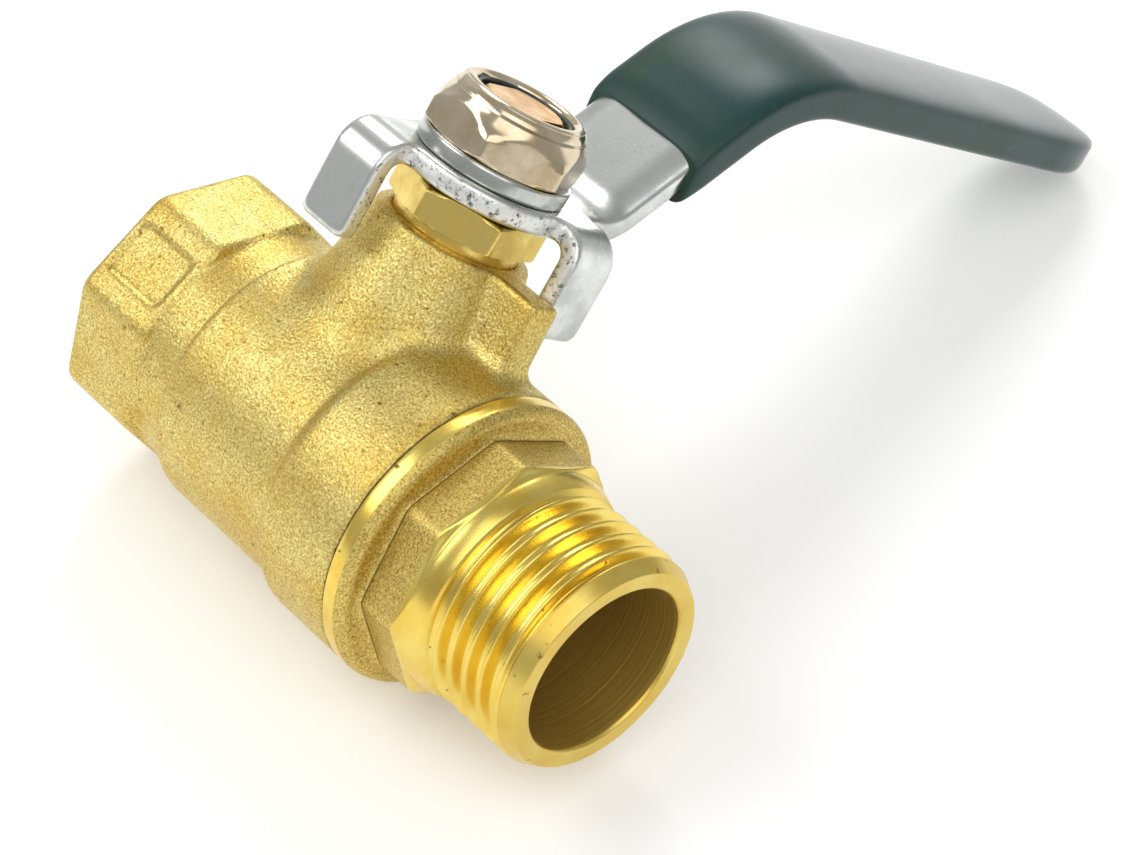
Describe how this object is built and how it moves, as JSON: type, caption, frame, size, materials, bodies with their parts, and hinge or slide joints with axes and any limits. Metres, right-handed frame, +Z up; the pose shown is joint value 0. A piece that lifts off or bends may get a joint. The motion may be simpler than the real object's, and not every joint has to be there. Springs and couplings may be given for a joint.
{
  "type": "ball valve",
  "caption": "Small brass ball valve with an octagonal female socket, a male threaded end and a bent steel lever with a vinyl grip, shown closed.",
  "frame": {"origin": "centre of the female socket's mouth, on the pipe axis", "axes": "+X along the pipe axis from the female socket to the male end, +Z up the stem, +Y along the closed lever"},
  "size_m": [0.0578, 0.0972, 0.0591],
  "materials": {
    "forged_brass": "shot-blasted satin",
    "turned_brass": "turned, bright",
    "chromed_ball": "polished",
    "ptfe": "matte",
    "zinc_steel": "bright zinc plate",
    "green_vinyl": "soft satin dip",
    "nickel_nut": "polished nickel",
    "dark_nylon": "matte"
  },
  "bodies": {
    "valve": {"valve_body": "forged_brass", "end_adapter": "forged_brass", "seat_ring_inlet": "ptfe", "seat_ring_outlet": "ptfe", "thrust_washer": "ptfe", "packing_ring": "ptfe", "gland_nut": "turned_brass"},
    "handle": {"lever": "zinc_steel", "grip_sleeve": "green_vinyl", "lever_washer": "zinc_steel", "lock_nut": "nickel_nut", "lock_nut_insert": "dark_nylon", "stem": "turned_brass", "ball": "chromed_ball"}
  },
  "joints": [
    {"name": "lever_turn", "type": "hinge", "parent": "valve", "child": "handle", "pos_m": [0.023, 0, 0], "axis": [0, 0, 1], "range_deg": [0, 90]}
  ]
}
